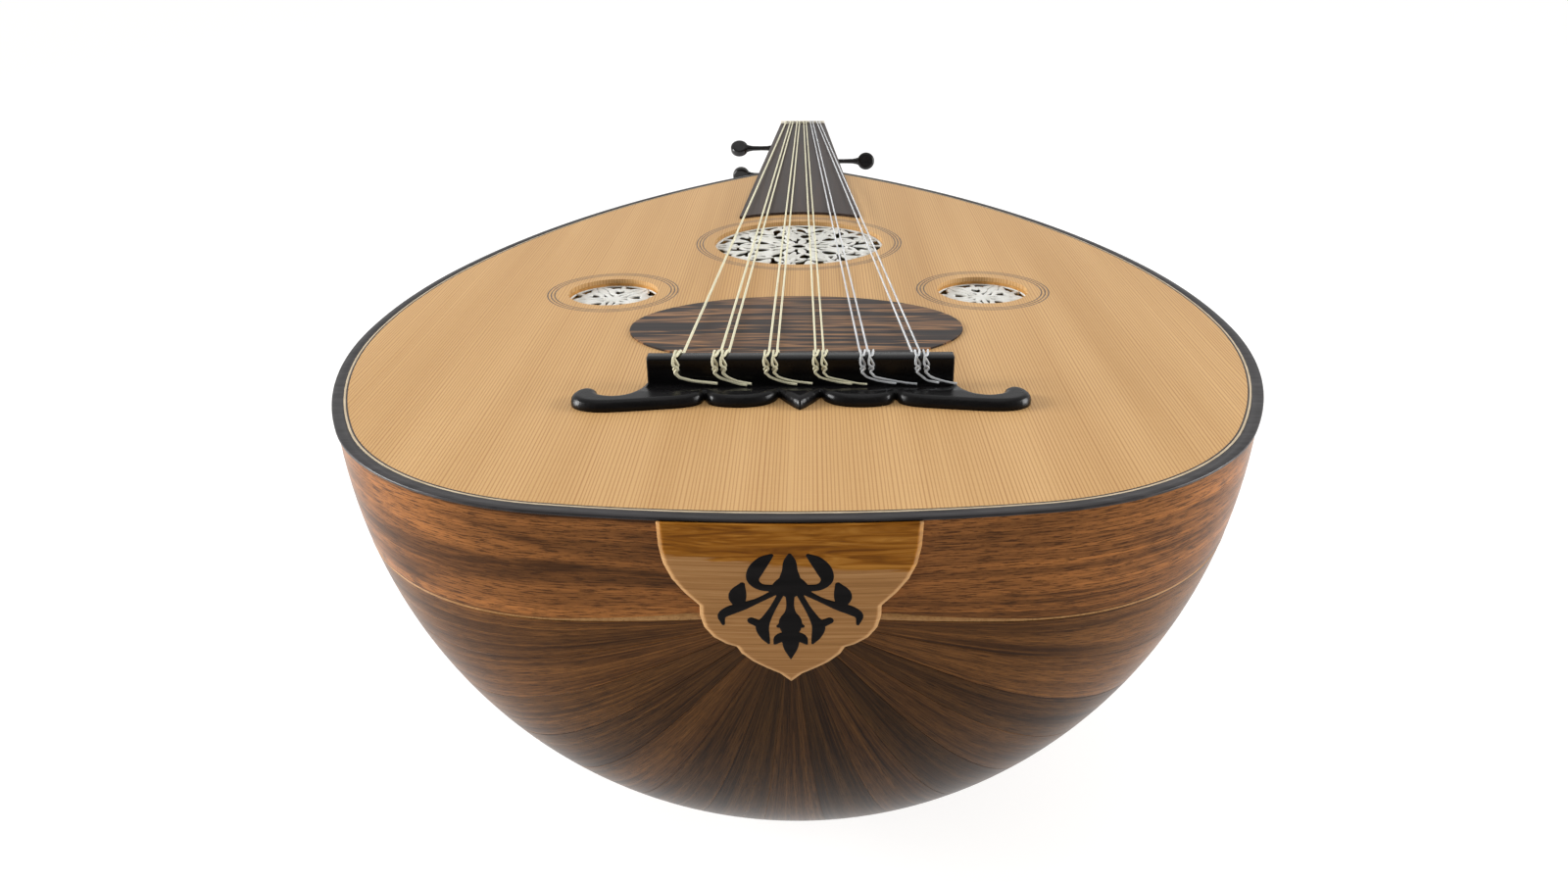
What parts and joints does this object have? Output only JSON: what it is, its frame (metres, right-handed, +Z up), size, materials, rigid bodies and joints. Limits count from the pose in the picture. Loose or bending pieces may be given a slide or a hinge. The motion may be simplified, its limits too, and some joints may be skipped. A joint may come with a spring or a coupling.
{
  "type": "oud",
  "caption": "Short-necked lute with a deep ribbed bowl, pierced roses, wavy tie bridge, bent-back pegbox and turning friction pegs.",
  "frame": {"origin": "centre of the bounding box on the surface that the oud lies on, on its back", "axes": "+X to the right seen from the tail, +Y from the tail along the neck to the pegs, +Z up out of the soundboard"},
  "size_m": [0.3666, 0.8124, 0.2092],
  "materials": {
    "walnut": "gloss lacquer",
    "spruce": "satin",
    "ebony_edge": "satin",
    "black_ebony": "satin",
    "macassar": "satin",
    "fingerboard_ebony": "satin",
    "bone": "satin",
    "light_line": "gloss lacquer",
    "clasp_wood": "gloss lacquer",
    "inner_wood": "bare",
    "rose_ring": "satin",
    "neck_wood": "gloss lacquer",
    "string_wound": "satin",
    "string_nylon": "clear"
  },
  "bodies": {
    "root": {"rib_01": "walnut", "rib_02": "walnut", "rib_03": "walnut", "rib_04": "walnut", "rib_05": "walnut", "rib_06": "walnut", "rib_07": "walnut", "rib_08": "walnut", "rib_09": "walnut", "rib_10": "walnut", "rib_11": "walnut", "rib_12": "walnut", "rib_13": "walnut", "rib_14": "walnut", "rib_15": "walnut", "rib_16": "walnut", "rib_17": "walnut", "rim_strips": "light_line", "neck_block": "inner_wood", "tail_block": "inner_wood", "soundboard_left": "spruce", "soundboard_right": "spruce", "binding": "ebony_edge", "purfling": "bone", "braces": "inner_wood", "main_rose": "bone", "side_roses": "bone", "main_rose_ring": "rose_ring", "side_rose_rings": "rose_ring", "pickguard": "macassar", "neck": "neck_wood", "fingerboard": "fingerboard_ebony", "nut": "bone", "bridge": "black_ebony", "tail_clasp": "clasp_wood", "clasp_inlay": "black_ebony", "pegbox_cheek_left": "neck_wood", "pegbox_cheek_right": "neck_wood", "pegbox_back": "neck_wood", "pegbox_root_block": "neck_wood", "pegbox_end_block": "neck_wood", "pegbox_finial": "black_ebony", "strings_course_1": "string_wound", "strings_course_2": "string_wound", "strings_course_3": "string_wound", "strings_course_4": "string_wound", "strings_course_5": "string_nylon", "strings_course_6": "string_nylon"},
    "peg_left_1": {"peg_left_1": "black_ebony"},
    "peg_left_2": {"peg_left_2": "black_ebony"},
    "peg_left_3": {"peg_left_3": "black_ebony"},
    "peg_left_4": {"peg_left_4": "black_ebony"},
    "peg_left_5": {"peg_left_5": "black_ebony"},
    "peg_left_6": {"peg_left_6": "black_ebony"},
    "peg_right_1": {"peg_right_1": "black_ebony"},
    "peg_right_2": {"peg_right_2": "black_ebony"},
    "peg_right_3": {"peg_right_3": "black_ebony"},
    "peg_right_4": {"peg_right_4": "black_ebony"},
    "peg_right_5": {"peg_right_5": "black_ebony"}
  },
  "joints": [
    {"name": "peg_left_1_turn", "type": "hinge", "parent": "root", "child": "peg_left_1", "pos_m": [0, 0.29443, 0.16232], "axis": [1, 0, 0], "continuous": true},
    {"name": "peg_left_2_turn", "type": "hinge", "parent": "root", "child": "peg_left_2", "pos_m": [0, 0.31213, 0.13566], "axis": [1, 0, 0], "continuous": true},
    {"name": "peg_left_3_turn", "type": "hinge", "parent": "root", "child": "peg_left_3", "pos_m": [0, 0.32983, 0.10899], "axis": [1, 0, 0], "continuous": true},
    {"name": "peg_left_4_turn", "type": "hinge", "parent": "root", "child": "peg_left_4", "pos_m": [0, 0.34752, 0.08233], "axis": [1, 0, 0], "continuous": true},
    {"name": "peg_left_5_turn", "type": "hinge", "parent": "root", "child": "peg_left_5", "pos_m": [0, 0.36522, 0.05567], "axis": [1, 0, 0], "continuous": true},
    {"name": "peg_left_6_turn", "type": "hinge", "parent": "root", "child": "peg_left_6", "pos_m": [0, 0.38292, 0.02901], "axis": [1, 0, 0], "continuous": true},
    {"name": "peg_right_1_turn", "type": "hinge", "parent": "root", "child": "peg_right_1", "pos_m": [0, 0.30328, 0.14899], "axis": [1, 0, 0], "continuous": true},
    {"name": "peg_right_2_turn", "type": "hinge", "parent": "root", "child": "peg_right_2", "pos_m": [0, 0.32098, 0.12233], "axis": [1, 0, 0], "continuous": true},
    {"name": "peg_right_3_turn", "type": "hinge", "parent": "root", "child": "peg_right_3", "pos_m": [0, 0.33867, 0.09566], "axis": [1, 0, 0], "continuous": true},
    {"name": "peg_right_4_turn", "type": "hinge", "parent": "root", "child": "peg_right_4", "pos_m": [0, 0.35637, 0.069], "axis": [1, 0, 0], "continuous": true},
    {"name": "peg_right_5_turn", "type": "hinge", "parent": "root", "child": "peg_right_5", "pos_m": [0, 0.37407, 0.04234], "axis": [1, 0, 0], "continuous": true}
  ]
}
